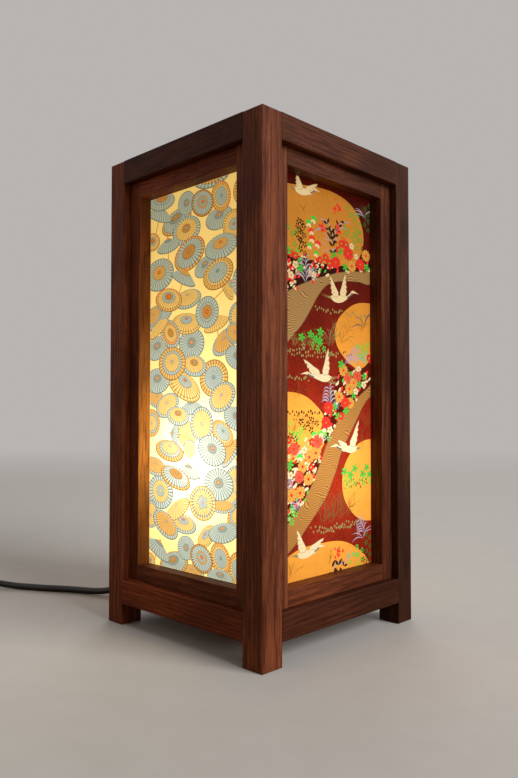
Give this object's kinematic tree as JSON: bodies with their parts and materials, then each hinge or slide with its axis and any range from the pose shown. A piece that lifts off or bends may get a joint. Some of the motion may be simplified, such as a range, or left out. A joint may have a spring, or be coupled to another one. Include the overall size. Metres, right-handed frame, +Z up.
{
  "type": "wooden table lamp",
  "caption": "Square post-and-rail wooden table lamp with lit patterned paper panels, screw-in bulb, inline switch and mains lead.",
  "frame": {"origin": "middle of the lamp's footprint, on the table", "axes": "+Z up along the height, -Y the front, which has a parasol paper, +X the right side, which has a crane paper"},
  "size_m": [0.4205, 0.3782, 0.4],
  "materials": {
    "walnut_posts": "oiled, satin, long straight grain",
    "walnut_rails": "oiled, satin, lively grain",
    "walnut_panel_frames": "oiled, satin",
    "parasol_paper": "printed paper, warm back light",
    "crane_paper": "printed paper, warm back light",
    "diffuser_sheet": "opal sheet",
    "plywood": "sanded birch plywood",
    "pine": "planed softwood",
    "zinc_screws": "zinc plated",
    "white_holder": "moulded, gloss",
    "brass_contacts": "stamped sheet",
    "opal_globe": "opal, lit from inside",
    "bulb_housing": "moulded, satin",
    "bulb_cap_metal": "nickel plated",
    "bulb_insulator": "black glass insulator",
    "black_rubber": "moulded, dull",
    "black_plastic": "moulded",
    "lead_sheath": "round flex, slight sheen",
    "switch_plastic": "fine spark texture",
    "rocker_plastic": "moulded, gloss",
    "tie_band": "hook-and-loop band",
    "plug_rubber": "moulded, dull",
    "nickel_pins": "nickel plated brass"
  },
  "bodies": {
    "root": {"post_front_right": "walnut_posts", "post_back_right": "walnut_posts", "post_back_left": "walnut_posts", "post_front_left": "walnut_posts", "top_rail_front": "walnut_rails", "top_rail_right": "walnut_rails", "top_rail_back": "walnut_rails", "top_rail_left": "walnut_rails", "bottom_rail_front": "walnut_rails", "bottom_rail_right": "walnut_rails", "bottom_rail_back": "walnut_rails", "bottom_rail_left": "walnut_rails", "front_stile_left": "walnut_panel_frames", "front_stile_right": "walnut_panel_frames", "right_stile_left": "walnut_panel_frames", "right_stile_right": "walnut_panel_frames", "back_stile_left": "walnut_panel_frames", "back_stile_right": "walnut_panel_frames", "left_stile_left": "walnut_panel_frames", "left_stile_right": "walnut_panel_frames", "front_panel_top": "walnut_panel_frames", "front_panel_bottom": "walnut_panel_frames", "right_panel_top": "walnut_panel_frames", "right_panel_bottom": "walnut_panel_frames", "back_panel_top": "walnut_panel_frames", "back_panel_bottom": "walnut_panel_frames", "left_panel_top": "walnut_panel_frames", "left_panel_bottom": "walnut_panel_frames", "front_paper": "parasol_paper", "right_paper": "crane_paper", "back_paper": "parasol_paper", "left_paper": "crane_paper", "front_diffuser": "diffuser_sheet", "right_diffuser": "diffuser_sheet", "back_diffuser": "diffuser_sheet", "left_diffuser": "diffuser_sheet", "base_board": "plywood", "base_cleats": "pine", "wood_screws": "zinc_screws", "holder_base": "white_holder", "holder_skirt": "white_holder", "holder_screw_shell": "brass_contacts", "holder_contact": "brass_contacts", "holder_terminals": "brass_contacts", "lead_grommet": "black_rubber", "lead_clip": "black_plastic", "lead_inside": "lead_sheath", "lead_free": "lead_sheath", "switch_base": "switch_plastic", "switch_cover": "switch_plastic", "switch_contacts": "brass_contacts", "lead_coil": "lead_sheath", "coil_ties": "tie_band", "plug_body": "plug_rubber", "plug_pins": "nickel_pins"},
    "bulb_lifting": {"bulb_tip": "bulb_insulator"},
    "bulb": {"bulb_globe": "opal_globe", "bulb_body": "bulb_housing", "bulb_cap": "bulb_cap_metal"},
    "rocker": {"switch_rocker": "rocker_plastic"}
  },
  "joints": [
    {"name": "bulb_lift", "type": "slide", "parent": "root", "child": "bulb_lifting", "axis": [0, 0, 1], "range_m": [0, 0.01455]},
    {"name": "bulb_turn", "type": "hinge", "parent": "bulb_lifting", "child": "bulb", "pos_m": [0, 0, 0.1], "axis": [0, 0, 1], "range_deg": [0, 1440]},
    {"name": "switch_rocker", "type": "hinge", "parent": "root", "child": "rocker", "pos_m": [-0.29475, -0.15693, 0.013], "axis": [-0.9138, 0.4061, 0], "range_deg": [0, 14]}
  ],
  "couplings": [
    {"joint": "bulb_lift", "follows": "bulb_turn", "m_per_rad": 0.00057773}
  ]
}
